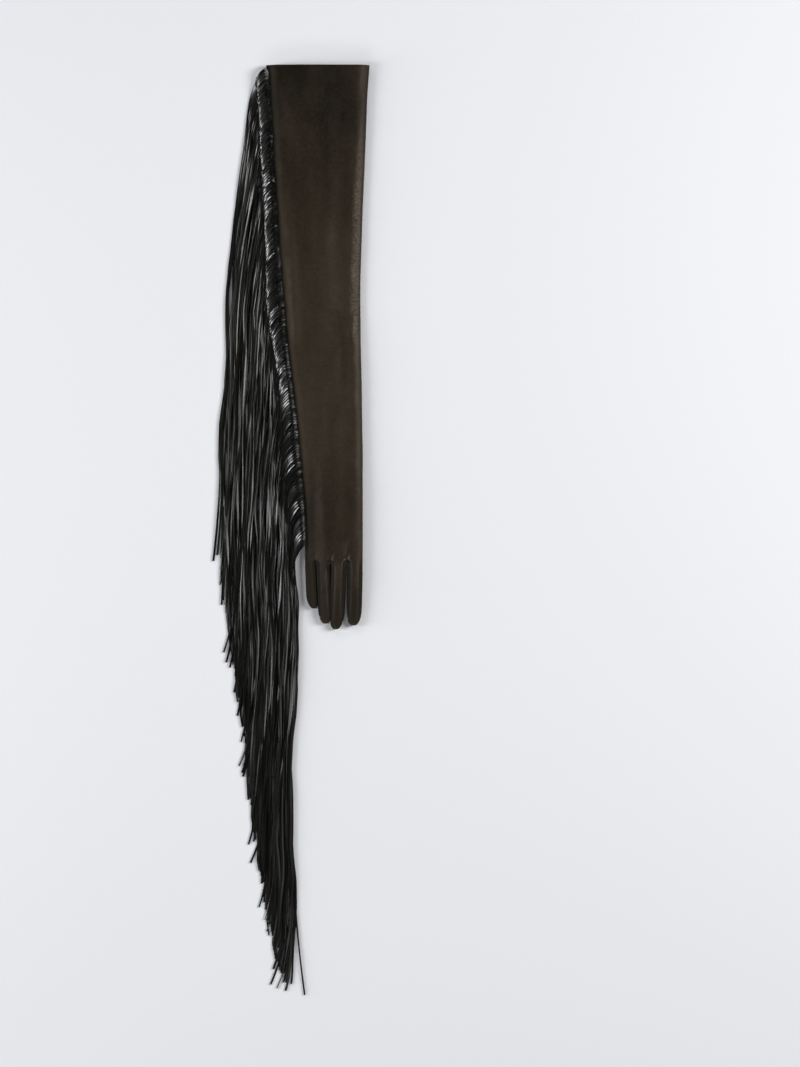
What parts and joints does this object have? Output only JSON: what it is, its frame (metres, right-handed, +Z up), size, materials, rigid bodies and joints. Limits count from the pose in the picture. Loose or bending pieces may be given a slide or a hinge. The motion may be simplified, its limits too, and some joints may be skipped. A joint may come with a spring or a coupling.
{
  "type": "long leather glove with cut fringe",
  "caption": "Opera-length soft leather glove, right hand, lying flat with its back up and a very long cut fringe along its outer seam.",
  "frame": {"origin": "middle of the glove's box, on the surface that the glove lies on", "axes": "+Y along the glove from the fingertips to the open top edge, +X from the fringe to the thumb side, +Z up out of the back of the hand"},
  "size_m": [0.2088, 1.238, 0.0176],
  "materials": {
    "glove_leather": "satin dark brown-black nappa, fine grain, soft sheen",
    "fringe_leather": "near-black polished nappa cut into narrow strips"
  },
  "bodies": {
    "root": {"glove_shell": "glove_leather", "thumb": "glove_leather", "fourchette_little_ring": "glove_leather", "fourchette_ring_middle": "glove_leather", "fourchette_middle_index": "glove_leather", "fringe": "fringe_leather"}
  },
  "joints": []
}
